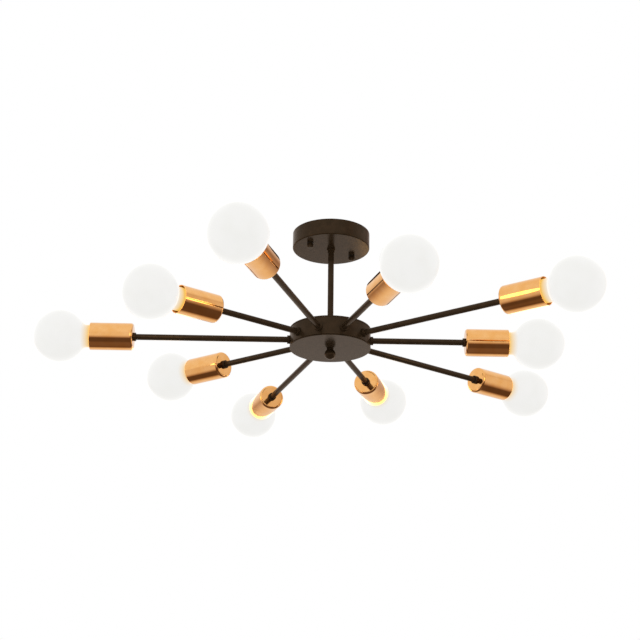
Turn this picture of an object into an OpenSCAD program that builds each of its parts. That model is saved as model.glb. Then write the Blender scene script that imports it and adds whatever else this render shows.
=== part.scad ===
// Ten-arm radial ceiling light: a round canopy, a short stem, a drum hub and ten straight arms.
// Each arm carries a plated cup with a lampholder and a round opal bulb that screws out.
// The origin is the centre of the ceiling face, +Z points up and +X runs along the first long arm.
// Long and short arms alternate round the hub, all in one level plane.

/* [Overall] */
// Height from the ceiling down to the plane of the arms
arm_drop = 174; // [150:1:400]
// Number of arms, half of them long and half short
arm_count = 10; // [6:2:10]
// Distance from the centre line to the back of a long arm's cup
long_reach = 295; // [240:1:500]
// Distance from the centre line to the back of a short arm's cup
short_reach = 203; // [160:1:400]

/* [Tubes and lock nuts] */
// Outside diameter of the stem and the arms
tube_d = 9; // [8.5:0.1:14]
// Diameter of the threaded ends of the stem and the arms
thread_d = 8; // [7.5:0.1:8.4]
// Bore of the stem and the arms, for the leads
tube_bore = 6; // [5:0.1:6.5]
// Outside diameter of the collar nuts at both ends of an arm
collar_d = 13; // [11:0.1:18]
// Length of the collar nuts
collar_l = 3.8; // [2:0.1:8]
// Width across the flats of the hexagon lock nuts
nut_flats = 12; // [10.5:0.1:13]
// Thickness of the hexagon lock nuts
nut_t = 3.5; // [2:0.1:5]
// Thread left standing past a lock nut
thread_tail = 2; // [1:0.1:4]

/* [Mounting bar] */
// Width of the bar that is screwed to the ceiling
bar_w = 18; // [14:0.5:24]
// Thickness of the bar
bar_t = 2; // [1.5:0.1:3]
// Distance between the middles of the two ceiling screw slots
slot_span = 40; // [34:1:44]
// Length of a ceiling screw slot
slot_l = 14; // [8:0.5:16]
// Width of a ceiling screw slot
slot_w = 4.5; // [3.5:0.1:6]
// Distance between the two studs that carry the canopy
stud_span = 80; // [66:1:84]
// Thread diameter of the two studs
stud_d = 4; // [3:0.1:5]
// Length of stud thread inside a thumb nut
stud_grip = 5.2; // [4:0.1:6]
// Width across the flats of the hexagon that locks a stud
stud_hex_flats = 7; // [6:0.1:9]
// Thickness of that hexagon
stud_hex_t = 3; // [2:0.1:4]

/* [Canopy] */
// Outside diameter of the canopy
canopy_d = 118; // [108:1:200]
// Height of the canopy
canopy_h = 25; // [20:0.5:45]
// Sheet thickness of the canopy
canopy_wall = 1.2; // [0.8:0.1:2]
// Outside radius of the canopy's lower edge
canopy_edge = 1.8; // [1.3:0.1:4]
// Diameter of the thumb nuts
thumb_nut_d = 9.6; // [8:0.1:16]
// Height of the thumb nuts
thumb_nut_h = 6.9; // [6.8:0.1:12]
// Diameter of the washers above the thumb nuts
washer_d = 9.8; // [8:0.1:18]
// Thickness of the washers
washer_t = 0.7; // [0.5:0.1:2]

/* [Stem collars] */
// Diameter of the flange that seats on the sheet
flange_d = 12.8; // [12:0.1:24]
// Thickness of the flange
flange_t = 2.5; // [1.5:0.1:5]
// Diameter of the ferrule round the tube, added to the tube's diameter
ferrule_wall = 0.9; // [0.5:0.1:1.4]
// Length of the ferrule
ferrule_l = 4; // [2:0.1:12]

/* [Hub] */
// Outside diameter of the drum
hub_d = 121.6; // [100:0.1:180]
// Height of the drum's wall
hub_h = 29; // [25:0.5:50]
// Height of the drum's top above the plane of the arms
hub_rise = 17; // [12:0.5:20]
// Sheet thickness of the drum
hub_wall = 1.2; // [0.8:0.1:2]
// Height of the raised band round the top edge
band_h = 2.4; // [1:0.1:4]
// How far the band stands out from the wall
band_out = 0.5; // [0.2:0.1:1]
// Thickness of the bottom cover
cover_t = 1.3; // [1:0.1:3]
// Height of the locating ring on the cover
cover_ring_h = 3; // [2:0.1:4]
// Width of the bracket that carries the cover
bracket_w = 40; // [30:1:44]
// Depth of the bracket
bracket_depth = 14; // [12:0.5:20]
// Strap thickness of the bracket
bracket_t = 1.5; // [1:0.1:2.5]

/* [Finial] */
// Diameter of the finial's ball
ball_d = 16.5; // [15:0.1:30]
// Diameter of the finial's neck
neck_d = 10; // [8:0.1:12]
// Distance from the cover down to the middle of the ball
ball_drop = 8.5; // [8:0.1:16]
// Thread diameter of the finial's stud
finial_stud_d = 6; // [4:0.1:7]
// Length of stud thread inside the finial
finial_grip = 8; // [6:0.1:9]

/* [Cups] */
// Outside diameter of a cup
cup_d = 41; // [39:0.1:60]
// Length of a cup
cup_l = 64.5; // [58:0.1:75]
// Wall thickness of a cup
cup_wall = 1; // [0.6:0.1:1.6]
// Outside radius of the edge round a cup's closed back
cup_edge = 3.6; // [2:0.1:8]

/* [Lamps] */
// Diameter of the round bulb
bulb_d = 80; // [60:1:100]
// Diameter of the bulb's neck
bulb_neck_d = 33.7; // [29:0.1:34]
// Length of the bulb's straight neck, with its taper
bulb_neck_l = 14; // [12:0.1:24]
// Radius of the fillet between the neck and the ball
bulb_fillet = 6; // [3:0.1:9]
// Wall thickness of the bulb
bulb_wall = 1.2; // [0.8:0.1:2]
// Outside diameter of the bulb's screw cap
cap_d = 26.2; // [25:0.1:27]
// Length of the bulb's screw cap, with its contact
cap_l = 26; // [24:0.1:28]
// Distance from the back of a cup to the bulb's contact
seat_depth = 30; // [28:0.1:34]
// Wall thickness of the lampholder
holder_wall = 3.2; // [2.5:0.1:3.6]
// Wall thickness of the threaded sleeve in the lampholder
sleeve_wall = 0.5; // [0.4:0.1:0.8]

/* [Wiring] */
// Diameter of one insulated lead
lead_d = 1.9; // [1.4:0.1:2.2]
// Diameter of the bundle of leads in the hub and the stem
bundle_d = 4.4; // [3:0.1:4.8]
// Length of the terminal block
block_l = 26; // [20:1:30]
// Width of the terminal block
block_w = 16; // [12:1:18]
// Height of the terminal block
block_h = 12; // [9:0.5:14]

/* [Hidden] */
$fn = 96;
// Gap round a thread or a stud that passes through a clearance hole
hole_gap = 0.3;
// Gap between faces that turn on one another
turn_gap = 0.1;
// Radial clearance of a nut that runs on its stud
run_gap = 0.05;
// Gap between sheet parts that come apart
sheet_gap = 0.3;
// Gap between the bulb's cap and the threaded sleeve
cap_gap = 0.3;
// Gap between the ends of the mounting bar and the canopy
bar_gap = 3;
// Gap between the cover's locating ring and the drum
ring_gap = 0.4;
// Gap between the lampholder's rim and the shoulder of the bulb
rim_gap = 1.5;
// Length by which a cut runs past the face it starts from
past = 1;

arm_plane = -arm_drop;
hub_top = arm_plane + hub_rise;
hub_rim = hub_top - hub_h;
hub_r = hub_d / 2;
hub_in_r = hub_r - hub_wall;
canopy_in_r = canopy_d / 2 - canopy_wall;
canopy_floor = -canopy_h + canopy_wall;
nut_corner_r = nut_flats / 2 / cos(30);

// A flat nut inside the drum touches the curved wall at its corners
nut_face = sqrt(pow(hub_in_r, 2) - pow(nut_corner_r, 2));
arm_inner_end = nut_face - nut_t - thread_tail;

bar_l = 2 * (sqrt(pow(canopy_in_r, 2) - pow(bar_w / 2, 2)) - bar_gap);
stud_top = -sheet_gap;
washer_top = -canopy_h - turn_gap;
thumb_nut_top = washer_top - washer_t - turn_gap;
stud_end = thumb_nut_top - stud_grip;

stem_top = canopy_floor + nut_t + thread_tail;
bracket_top = hub_top - hub_wall;
stem_end = bracket_top - bracket_t - nut_t - thread_tail;

cover_top = hub_rim - sheet_gap;
cover_bottom = cover_top - cover_t;
bracket_bottom = cover_top + sheet_gap;
finial_top = cover_bottom - turn_gap;
finial_stud_end = finial_top - finial_grip;
ball_z = cover_bottom - ball_drop;

neck_r = bulb_neck_d / 2;
bulb_r = bulb_d / 2;
// Height of the ball's centre over the end of the straight neck
fillet_rise = sqrt(pow(bulb_r + bulb_fillet, 2) - pow(neck_r + bulb_fillet, 2));
neck_end = cap_l + bulb_neck_l;
bulb_centre = neck_end + fillet_rise;
// Length of the taper at the foot of the neck
taper_l = 5;

sleeve_in_r = cap_d / 2 + cap_gap;
sleeve_out_r = sleeve_in_r + sleeve_wall;
holder_r = sleeve_out_r + holder_wall;
holder_front = seat_depth + cap_l - rim_gap;
// Length of the lampholder's threaded throat
holder_throat = 9;
// Length over which the throat widens to the full body
holder_flare = 5;
// Length of arm thread inside the lampholder
thread_in_holder = 8;
// Thickness of the floor that holds the centre contact
holder_floor = 2.5;
// Travel left for the sprung contact behind the bulb
contact_travel = 5;
// Shoulder between the wiring chamber and the sleeve
chamber_step = 2;
chamber_end = seat_depth - contact_travel;

// Distance from the inner end of the arms to the middle of the ring of leads
loom_inset = 18;
loom_ring_r = arm_inner_end - loom_inset;
// Radius to which the bundle of leads bends
bend_r = 5;
// Gap between the two leads in an arm
lead_gap = 0.2;
lead_spacing = lead_d + lead_gap;
contact_plug_r = lead_spacing + lead_d;
// Gap between the stem's lock nut and the terminal block
block_gap = 15;
block_y = nut_corner_r + block_gap + block_w / 2;
// Diameter of a screw well in the terminal block
well_d = 4.8;
// Smallest inside radius of a drawn edge
least_edge = 0.1;

steel = [0.72, 0.72, 0.7];
bronze = [0.2, 0.15, 0.11];
copper = [0.87, 0.58, 0.38];
opal = [0.94, 0.94, 0.92];
nickel = [0.8, 0.78, 0.74];
brass = [0.8, 0.66, 0.36];
phenolic = [0.12, 0.12, 0.12];
nylon = [0.9, 0.89, 0.84];
sheathing = [0.35, 0.13, 0.1];

ARMS = [0:arm_count - 1];
LAMPS = [for (i = ARMS) i];
function tag(i) = str(i < 9 ? "0" : "", i + 1);
function arm_angle(i) = 360 / arm_count * i;
function cup_back(i) = i % 2 == 0 ? long_reach : short_reach;

// Places a shape drawn up the Z axis along one arm, with Z measured out from the centre line
module along_arm(i, distance = 0) {
    rotate([0, 0, arm_angle(i)])
        translate([distance, 0, arm_plane])
            rotate([0, 90, 0])
                children();
}

// Tube with a reduced thread at both ends
module threaded_tube(start, shoulder_a, shoulder_b, end) {
    difference() {
        union() {
            translate([0, 0, start])
                cylinder(h = end - start, d = thread_d);
            translate([0, 0, shoulder_a])
                cylinder(h = shoulder_b - shoulder_a, d = tube_d);
        }
        translate([0, 0, start - past])
            cylinder(h = end - start + 2 * past, d = tube_bore);
    }
}

// Round collar with chamfered edges and a plain bore
module collar(outer_d, bore_d, length, chamfer) {
    rotate_extrude()
        polygon([
            [bore_d / 2, 0],
            [outer_d / 2 - chamfer, 0],
            [outer_d / 2, chamfer],
            [outer_d / 2, length - chamfer],
            [outer_d / 2 - chamfer, length],
            [bore_d / 2, length]
        ]);
}

// Hexagon nut with a plain bore
module hex_nut(flats, bore_d, thickness) {
    difference() {
        cylinder(h = thickness, r = flats / 2 / cos(30), $fn = 6);
        translate([0, 0, -past])
            cylinder(h = thickness + 2 * past, d = bore_d);
    }
}

// Half outline of a closed vessel with a rounded bottom edge, standing on the X axis
module vessel_outline(r, length, edge) {
    square([r - edge, length]);
    translate([0, edge])
        square([r, length - edge]);
    intersection() {
        translate([r - edge, edge])
            circle(r = edge);
        square([r, length]);
    }
}

// Thin vessel of revolution, open at the top, with a round hole in its bottom
module vessel(r, length, wall, edge, hole_d) {
    difference() {
        rotate_extrude()
            difference() {
                vessel_outline(r, length, edge);
                translate([0, wall])
                    vessel_outline(r - wall, length, max(edge - wall, least_edge));
            }
        translate([0, 0, -past])
            cylinder(h = wall + 2 * past, d = hole_d);
    }
}

module mounting_bar() {
    color(steel)
        difference() {
            translate([-bar_l / 2, -bar_w / 2, -bar_t])
                cube([bar_l, bar_w, bar_t]);
            for (side = [-1, 1]) {
                translate([side * stud_span / 2, 0, -bar_t - past])
                    cylinder(h = bar_t + 2 * past, d = stud_d);
                for (end = [-1, 1])
                    translate([side * slot_span / 2 + end * (slot_l - slot_w) / 2, 0, -bar_t - past])
                        cylinder(h = bar_t + 2 * past, d = slot_w);
                translate([side * slot_span / 2 - (slot_l - slot_w) / 2, -slot_w / 2, -bar_t - past])
                    cube([slot_l - slot_w, slot_w, bar_t + 2 * past]);
            }
        }
}

// Two studs with a hexagon collar that locks them against the bar
module bar_studs() {
    color(steel)
        for (side = [-1, 1])
            translate([side * stud_span / 2, 0, 0]) {
                translate([0, 0, stud_end])
                    cylinder(h = stud_top - stud_end, d = stud_d);
                translate([0, 0, -bar_t - stud_hex_t])
                    cylinder(h = stud_hex_t, r = stud_hex_flats / 2 / cos(30), $fn = 6);
            }
}

module terminal_block() {
    pole_pitch = block_l / 3;
    color(nylon)
        translate([0, block_y, canopy_floor])
            difference() {
                translate([-block_l / 2, -block_w / 2, 0])
                    cube([block_l, block_w, block_h]);
                for (pole = [-1:1])
                    translate([pole * pole_pitch, 0, block_h / 2])
                        cylinder(h = block_h, d = well_d);
            }
}

module canopy() {
    color(bronze)
        difference() {
            translate([0, 0, -canopy_h])
                vessel(canopy_d / 2, canopy_h, canopy_wall, canopy_edge, thread_d + hole_gap);
            for (side = [-1, 1])
                translate([side * stud_span / 2, 0, -canopy_h - past])
                    cylinder(h = canopy_wall + 2 * past, d = stud_d + 2 * hole_gap);
        }
}

module canopy_washer(side) {
    color(phenolic)
        translate([side * stud_span / 2, 0, washer_top - washer_t])
            difference() {
                cylinder(h = washer_t, d = washer_d);
                translate([0, 0, -past])
                    cylinder(h = washer_t + 2 * past, d = stud_d + 2 * hole_gap);
            }
}

// Closed thumb nut with a rounded lower edge
module thumb_nut(side) {
    edge = 1.6;
    color(bronze)
        translate([side * stud_span / 2, 0, thumb_nut_top - thumb_nut_h])
            difference() {
                rotate_extrude()
                    vessel_outline(thumb_nut_d / 2, thumb_nut_h, edge);
                translate([0, 0, thumb_nut_h - stud_grip - turn_gap])
                    cylinder(h = stud_grip + past, d = stud_d + 2 * run_gap);
            }
}

module stem() {
    color(bronze)
        threaded_tube(stem_end, hub_top + flange_t, -canopy_h - flange_t, stem_top);
}

// Collar with a wide flange on the thread and a slim ferrule over the tube
module stem_collar() {
    ferrule_r = tube_d / 2 + ferrule_wall;
    chamfer = 0.4;
    rotate_extrude()
        polygon([
            [thread_d / 2, 0],
            [flange_d / 2, 0],
            [flange_d / 2, flange_t - chamfer],
            [flange_d / 2 - chamfer, flange_t],
            [ferrule_r, flange_t],
            [ferrule_r, flange_t + ferrule_l - chamfer],
            [ferrule_r - chamfer, flange_t + ferrule_l],
            [tube_d / 2, flange_t + ferrule_l],
            [tube_d / 2, flange_t],
            [thread_d / 2, flange_t]
        ]);
}

module stem_collars() {
    color(bronze) {
        translate([0, 0, -canopy_h])
            mirror([0, 0, 1])
                stem_collar();
        translate([0, 0, hub_top])
            stem_collar();
    }
}

module stem_lock_nuts() {
    color(steel) {
        translate([0, 0, canopy_floor])
            hex_nut(nut_flats, thread_d, nut_t);
        translate([0, 0, bracket_top - bracket_t - nut_t])
            hex_nut(nut_flats, thread_d, nut_t);
    }
}

module hub_drum() {
    color(bronze)
        difference() {
            rotate_extrude() {
                difference() {
                    translate([0, hub_rim])
                        square([hub_r, hub_h]);
                    translate([0, hub_rim - past])
                        square([hub_in_r, hub_h - hub_wall + past]);
                }
                translate([hub_in_r, hub_top - band_h])
                    square([hub_wall + band_out, band_h]);
            }
            translate([0, 0, hub_top - hub_wall - past])
                cylinder(h = hub_wall + 2 * past, d = thread_d + hole_gap);
            for (i = ARMS)
                along_arm(i, hub_in_r - 2 * past)
                    cylinder(h = hub_wall + 4 * past, d = thread_d + hole_gap);
        }
}

// Closed strap frame that hangs in the drum and ends in the stud for the finial
module cover_bracket() {
    height = bracket_top - bracket_bottom;
    color(steel) {
        difference() {
            translate([-bracket_w / 2, -bracket_depth / 2, bracket_bottom])
                cube([bracket_w, bracket_depth, height]);
            translate([-bracket_w / 2 + bracket_t, -bracket_depth / 2 - past, bracket_bottom + bracket_t])
                cube([bracket_w - 2 * bracket_t, bracket_depth + 2 * past, height - 2 * bracket_t]);
            translate([0, 0, bracket_top - bracket_t - past])
                cylinder(h = bracket_t + 2 * past, d = thread_d + hole_gap);
        }
        translate([0, 0, finial_stud_end])
            cylinder(h = bracket_bottom + bracket_t / 2 - finial_stud_end, d = finial_stud_d);
    }
}

module hub_cover() {
    edge = 0.5;
    ring_r = hub_in_r - ring_gap;
    color(bronze)
        difference() {
            rotate_extrude() {
                polygon([
                    [0, cover_bottom],
                    [hub_r - edge, cover_bottom],
                    [hub_r, cover_bottom + edge],
                    [hub_r, cover_top],
                    [0, cover_top]
                ]);
                translate([ring_r - hub_wall, cover_top - cover_t / 2])
                    square([hub_wall, cover_ring_h + cover_t / 2]);
            }
            translate([0, 0, cover_bottom - past])
                cylinder(h = cover_t + 2 * past, d = finial_stud_d + 2 * hole_gap);
        }
}

module finial() {
    color(bronze)
        difference() {
            rotate_extrude() {
                translate([0, ball_z])
                    intersection() {
                        circle(d = ball_d);
                        translate([0, -ball_d])
                            square([ball_d, ball_d + finial_top - ball_z]);
                    }
                translate([0, ball_z])
                    square([neck_d / 2, finial_top - ball_z]);
            }
            translate([0, 0, finial_stud_end - turn_gap])
                cylinder(h = finial_grip + past, d = finial_stud_d + 2 * run_gap);
        }
}

module arm(i) {
    color(bronze)
        along_arm(i)
            threaded_tube(
                arm_inner_end,
                hub_r + collar_l,
                cup_back(i) - collar_l,
                cup_back(i) + cup_wall + thread_in_holder
            );
}

module arm_collars() {
    chamfer = 0.4;
    color(bronze)
        for (i = ARMS, start = [hub_r, cup_back(i) - collar_l])
            along_arm(i, start)
                collar(collar_d, thread_d, collar_l, chamfer);
}

module arm_lock_nuts() {
    color(steel)
        for (i = ARMS)
            along_arm(i, nut_face - nut_t)
                hex_nut(nut_flats, thread_d, nut_t);
}

module cup(i) {
    color(copper)
        along_arm(i, cup_back(i))
            vessel(cup_d / 2, cup_l, cup_wall, cup_edge, thread_d + hole_gap);
}

// Moulded lampholder: a threaded throat, a wiring chamber, a floor and a socket for the sleeve
module lampholder() {
    throat_end = cup_wall + holder_throat;
    flare_end = throat_end + holder_flare;
    chamber_r = sleeve_out_r - chamber_step;
    rotate_extrude()
        polygon([
            [thread_d / 2, cup_wall],
            [thread_d / 2 + holder_wall, cup_wall],
            [thread_d / 2 + holder_wall, throat_end],
            [holder_r, flare_end],
            [holder_r, holder_front],
            [sleeve_out_r, holder_front],
            [sleeve_out_r, chamber_end + holder_floor],
            [contact_plug_r, chamber_end + holder_floor],
            [contact_plug_r, chamber_end],
            [chamber_r, chamber_end],
            [chamber_r, flare_end],
            [thread_d / 2, flare_end]
        ]);
}

module lampholders() {
    color(phenolic)
        for (i = ARMS)
            along_arm(i, cup_back(i))
                lampholder();
}

// Threaded sleeve and centre contact of one lampholder
module holder_contacts() {
    sleeve_start = seat_depth + cap_gap;
    difference() {
        translate([0, 0, sleeve_start])
            cylinder(h = holder_front - rim_gap - sleeve_start, r = sleeve_out_r);
        translate([0, 0, sleeve_start - past])
            cylinder(h = holder_front - sleeve_start + 2 * past, r = sleeve_in_r);
    }
    translate([0, 0, chamber_end])
        cylinder(h = seat_depth - cap_gap - chamber_end, r = contact_plug_r);
}

module lampholder_contacts() {
    color(brass)
        for (i = ARMS)
            along_arm(i, cup_back(i))
                holder_contacts();
}

// Screw cap: a hollow metal shell over an insulating cone with the centre contact
module bulb_cap(i) {
    shell_wall = 0.6;
    shell_start = 7;
    shell_foot = 5;
    shell_ease = 1.6;
    contact_r = 4;
    contact_h = 1.2;
    cone_r = 7;
    color(nickel)
        along_arm(i, cup_back(i) + seat_depth)
            rotate_extrude()
                polygon([
                    [0, 0],
                    [contact_r, 0],
                    [contact_r, contact_h],
                    [cone_r, contact_h],
                    [cap_d / 2 - shell_ease, shell_foot],
                    [cap_d / 2, shell_start],
                    [cap_d / 2, cap_l - turn_gap],
                    [cap_d / 2 - shell_wall, cap_l - turn_gap],
                    [cap_d / 2 - shell_wall, shell_start],
                    [0, shell_start]
                ]);
}

// Half outline of the ball, the fillet and the neck, measured up from the bulb's contact
module globe_outline(wall) {
    ball = bulb_r - wall;
    neck = neck_r - wall;
    fillet = bulb_fillet + wall;
    contact_share = ball / (ball + fillet);
    intersection() {
        translate([0, bulb_centre])
            circle(r = ball);
        translate([0, cap_l + wall])
            square([ball + past, bulb_centre + ball]);
    }
    polygon([
        [0, cap_l + wall],
        [cap_d / 2 + cap_gap - wall, cap_l + wall],
        [neck, cap_l + taper_l],
        [neck, neck_end],
        [0, neck_end]
    ]);
    difference() {
        polygon([
            [0, neck_end],
            [neck + fillet, neck_end],
            [(neck + fillet) * contact_share, bulb_centre - fillet_rise * contact_share],
            [0, bulb_centre - fillet_rise * contact_share]
        ]);
        translate([neck + fillet, neck_end])
            circle(r = fillet);
    }
}

module bulb_globe(i) {
    color(opal)
        along_arm(i, cup_back(i) + seat_depth)
            rotate_extrude()
                difference() {
                    globe_outline(0);
                    globe_outline(bulb_wall);
                }
}

// Leads: a ring in the drum, two leads out to each lampholder, and a bundle up the stem to the terminals
module wiring_loom() {
    lead_end = chamber_end;
    feed_drop = arm_plane + bend_r;
    feed_rise = stem_top - thread_tail / 2;
    block_face = block_y - block_w / 2;
    color(sheathing) {
        translate([0, 0, arm_plane])
            rotate_extrude()
                translate([loom_ring_r, 0])
                    circle(d = bundle_d);
        for (i = ARMS, side = [-1, 1])
            rotate([0, 0, arm_angle(i)])
                translate([loom_ring_r, side * lead_spacing / 2, arm_plane])
                    rotate([0, 90, 0])
                        cylinder(h = cup_back(i) + lead_end - loom_ring_r, d = lead_d);
        translate([0, 0, feed_drop])
            cylinder(h = feed_rise - feed_drop, d = bundle_d);
        translate([0, bend_r, feed_drop])
            rotate([0, -90, 0])
                rotate([0, 0, 180])
                    rotate_extrude(angle = 90)
                        translate([bend_r, 0])
                            circle(d = bundle_d);
        translate([0, bend_r, arm_plane])
            rotate([-90, 0, 0])
                cylinder(h = loom_ring_r - bend_r, d = bundle_d);
        translate([0, bend_r, feed_rise])
            rotate([0, -90, 0])
                rotate([0, 0, -90])
                    rotate_extrude(angle = 90)
                        translate([bend_r, 0])
                            circle(d = bundle_d);
        translate([0, bend_r, feed_rise + bend_r])
            rotate([-90, 0, 0])
                cylinder(h = block_face - bend_r, d = bundle_d);
    }
}

mounting_bar();
bar_studs();
terminal_block();
canopy();
canopy_washer(-1);  // canopy_washer_a
canopy_washer(1);  // canopy_washer_b
thumb_nut(-1);  // thumb_nut_a
thumb_nut(1);  // thumb_nut_b
stem();
stem_collars();
stem_lock_nuts();
wiring_loom();
hub_drum();
cover_bracket();
hub_cover();
finial();
arm_collars();
arm_lock_nuts();
lampholders();
lampholder_contacts();
for (i = LAMPS) {
    arm(i);
    cup(i);
    bulb_cap(i);
    bulb_globe(i);
}
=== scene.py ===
import math

import bmesh
import bpy
from mathutils import Matrix, Vector


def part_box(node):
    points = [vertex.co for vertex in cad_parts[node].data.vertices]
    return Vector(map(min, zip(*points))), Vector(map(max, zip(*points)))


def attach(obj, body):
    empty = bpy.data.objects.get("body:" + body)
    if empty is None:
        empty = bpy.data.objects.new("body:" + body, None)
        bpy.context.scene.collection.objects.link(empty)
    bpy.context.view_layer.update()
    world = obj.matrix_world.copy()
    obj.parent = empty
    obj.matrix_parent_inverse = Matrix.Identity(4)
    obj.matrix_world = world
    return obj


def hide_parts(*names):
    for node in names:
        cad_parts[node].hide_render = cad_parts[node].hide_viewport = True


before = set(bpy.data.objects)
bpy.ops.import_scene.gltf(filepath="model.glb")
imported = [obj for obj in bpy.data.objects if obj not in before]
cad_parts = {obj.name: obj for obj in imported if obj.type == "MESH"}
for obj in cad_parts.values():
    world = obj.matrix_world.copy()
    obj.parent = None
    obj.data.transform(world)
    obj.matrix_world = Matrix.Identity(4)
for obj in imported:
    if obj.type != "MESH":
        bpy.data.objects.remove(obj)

MM = 0.001
FULL_TURN = 2 * math.pi
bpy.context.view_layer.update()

# Sizes read from the fixed frame --------------------------------------------------------------

ROOT = "fixture"
ARM_COUNT = sum(name.startswith("arm_") and name[4:].isdigit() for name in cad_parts)
HALF = ARM_COUNT // 2
ARM_STEP = FULL_TURN / ARM_COUNT


def low(node):
    """Lowest corner of a node's box."""
    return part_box(node)[0]


def high(node):
    """Highest corner of a node's box."""
    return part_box(node)[1]


def radius_of(node, axis=1):
    """Half the width of a round node across one axis of the frame."""
    return (high(node)[axis] - low(node)[axis]) / 2


def tag(i):
    """Number of arm i as the names of the nodes write it."""
    return f"{i + 1:02d}"


# The first arm points along +X and the one opposite it along -X, so their boxes give both reaches
OPPOSITE = tag(HALF)
REACH = [low("cup_01").x, -high("cup_" + OPPOSITE).x]
ARM_LEVEL = (low("cup_01").z + high("cup_01").z) / 2
CUP_R = radius_of("cup_01")
CUP_L = high("cup_01").x - low("cup_01").x
TUBE_R = radius_of("arm_01")
ARM_START = low("arm_01").x
ARM_PAST_CUP = high("arm_01").x - REACH[0]
COLLAR_R = (high("arm_collars").z - low("arm_collars").z) / 2
HUB_COVER_R = radius_of("hub_cover")
HUB_TOP = high("hub_drum").z
HUB_RIM = low("hub_drum").z
BAND_R = radius_of("hub_drum")
CANOPY_R = radius_of("canopy", 0)
CANOPY_BASE = low("canopy").z
STUD_X = (low("thumb_nut_b").x + high("thumb_nut_b").x) / 2
CAP_R = radius_of("bulb_cap_01")
CAP_START = low("bulb_cap_01").x - REACH[0]
CAP_END = high("bulb_cap_01").x - REACH[0]
BULB_R = radius_of("bulb_globe_01")
BULB_END = high("bulb_globe_01").x - REACH[0]
BULB_CENTRE = BULB_END - BULB_R

# Sizes of the real thing that the frame's boxes don't give
SHEET = 1.2 * MM
CUP_WALL = 1.0 * MM
COLLAR_L = 3.8 * MM
THREAD_R = 4.0 * MM
BORE_R = 3.0 * MM
NUT_FLATS = 12 * MM
NUT_T = 3.5 * MM
# Clearance hole round the hollow thread
HOLE_R = THREAD_R + 0.2 * MM
FINE_PITCH = 1.0 * MM
STUD_PITCH = 0.7 * MM
LAMP_LEAD = 3.629 * MM
LAMP_THREAD_DEPTH = 0.85 * MM
# Radius where the rolled foot of the screw cap holds the base glass
CAP_LIP_R = CAP_R - 1.9 * MM
HOLDER_FLOOR = CAP_START - 5 * MM
# Height of the wire ways above the foot of the terminal block
WIRE_WAY = 4.5 * MM

# Edges sharper than this many degrees are drawn as edges
CREASE = 32
# Brightness of a lit bulb for the parts round it, where the white surround is 1
GLOW = 3.5


# Meshes ---------------------------------------------------------------------------------------


def arc(before, corner, after, radius, steps):
    """Points of the round-off that takes the place of one corner of an outline."""
    corner = Vector(corner)
    a = (Vector(before) - corner).normalized()
    b = (Vector(after) - corner).normalized()
    half = a.angle(b) / 2
    centre = corner + (a + b).normalized() * radius / math.sin(half)
    u = corner + a * radius / math.tan(half) - centre
    v = corner + b * radius / math.tan(half) - centre
    sweep = u.angle(v)
    points = []
    for k in range(steps + 1):
        t = k / steps
        p = centre + (u * math.sin((1 - t) * sweep) + v * math.sin(t * sweep)) / math.sin(sweep)
        points.append((p.x, p.y))
    return points


def outline(*corners, steps=5):
    """Outline through corners of (across, along) or (across, along, round-off radius)."""
    made = []
    for k, corner in enumerate(corners):
        if len(corner) == 2:
            made.append(corner)
            continue
        after = corners[(k + 1) % len(corners)]
        made += arc(corners[k - 1][:2], corner[:2], after[:2], corner[2], steps)
    return made


def thread(radius, start, end, pitch, depth):
    """Rows of a thread from start to end, whose grooves run out at both ends."""
    count = max(8, round(abs(end - start) / pitch * 8))
    rows = []
    for k in range(count + 1):
        along = start + (end - start) * k / count
        fade = min(1, abs(along - start) / pitch, abs(end - along) / pitch)
        rows.append((radius, along, depth * fade))
    return rows


def finish_mesh(name, bm):
    """Turns a bmesh into a mesh that is smooth except across its sharp edges."""
    bmesh.ops.recalc_face_normals(bm, faces=bm.faces)
    mesh = bpy.data.meshes.new(name)
    bm.to_mesh(mesh)
    bm.free()
    mesh.shade_smooth()
    mesh.set_sharp_from_angle(angle=math.radians(CREASE))
    return mesh


def turned(name, rows, closed=False, sides=96, pitch=1.0, flats=0.0, flutes=(0, 0.0)):
    """Mesh turned round Z through rows of (radius, height) or (radius, height, thread depth).

    closed joins the last row to the first. flats cuts the outside to a hexagon of that width.
    flutes is (count, depth) of the grooves down the widest part.
    """
    bm = bmesh.new()
    rings = []
    widest = max(row[0] for row in rows)
    for radius, height, *depth in rows:
        if radius < 1e-7:
            rings.append([bm.verts.new((0, 0, height))])
            continue
        ring = []
        for k in range(sides):
            angle = FULL_TURN * k / sides
            r = radius
            if depth:
                r -= depth[0] * (0.5 - 0.5 * math.cos(FULL_TURN * height / pitch - angle))
            if flats:
                r = min(r, flats / 2 / math.cos((angle + math.pi / 6) % (math.pi / 3) - math.pi / 6))
            if flutes[0] and radius > widest - 1e-6:
                r -= flutes[1] * (0.5 + 0.5 * math.cos(flutes[0] * angle)) ** 3
            ring.append(bm.verts.new((r * math.cos(angle), r * math.sin(angle), height)))
        rings.append(ring)
    for a, b in zip(rings, rings[1:] + (rings[:1] if closed else [])):
        for k in range(sides):
            n = (k + 1) % sides
            corners = [a[k % len(a)], a[n % len(a)], b[n % len(b)], b[k % len(b)]]
            unique = list(dict.fromkeys(corners))
            if len(unique) > 2:
                bm.faces.new(unique)
    return finish_mesh(name, bm)


def slab(name, contour, low_z, high_z):
    """Flat plate with a straight edge, drawn from a closed contour in the XY plane."""
    bm = bmesh.new()
    bottom = [bm.verts.new((x, y, low_z)) for x, y in contour]
    top = [bm.verts.new((x, y, high_z)) for x, y in contour]
    bm.faces.new(bottom[::-1])
    bm.faces.new(top)
    for k in range(len(contour)):
        n = (k + 1) % len(contour)
        bm.faces.new([bottom[k], bottom[n], top[n], top[k]])
    return finish_mesh(name, bm)


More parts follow.
